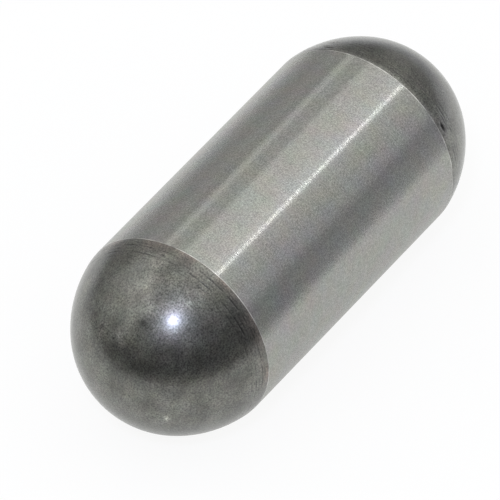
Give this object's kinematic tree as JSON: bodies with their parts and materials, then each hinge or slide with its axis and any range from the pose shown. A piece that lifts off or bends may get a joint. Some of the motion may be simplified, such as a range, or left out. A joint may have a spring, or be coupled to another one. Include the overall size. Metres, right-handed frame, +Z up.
{
  "type": "round-ended steel pin",
  "caption": "Short solid steel pin with a ground cylindrical barrel and a dark domed nose at each end, used as an interlock or detent plunger.",
  "frame": {"origin": "on the pin's axis, halfway along the barrel", "axes": "+X along the pin's axis from one dome to the other, +Z up with the pin lying on its side"},
  "size_m": [0.025, 0.01, 0.01],
  "materials": {
    "steel": "bright ground barrel, dark as-turned and heat-treated domes"
  },
  "bodies": {
    "root": {"pin": "steel"}
  },
  "joints": []
}
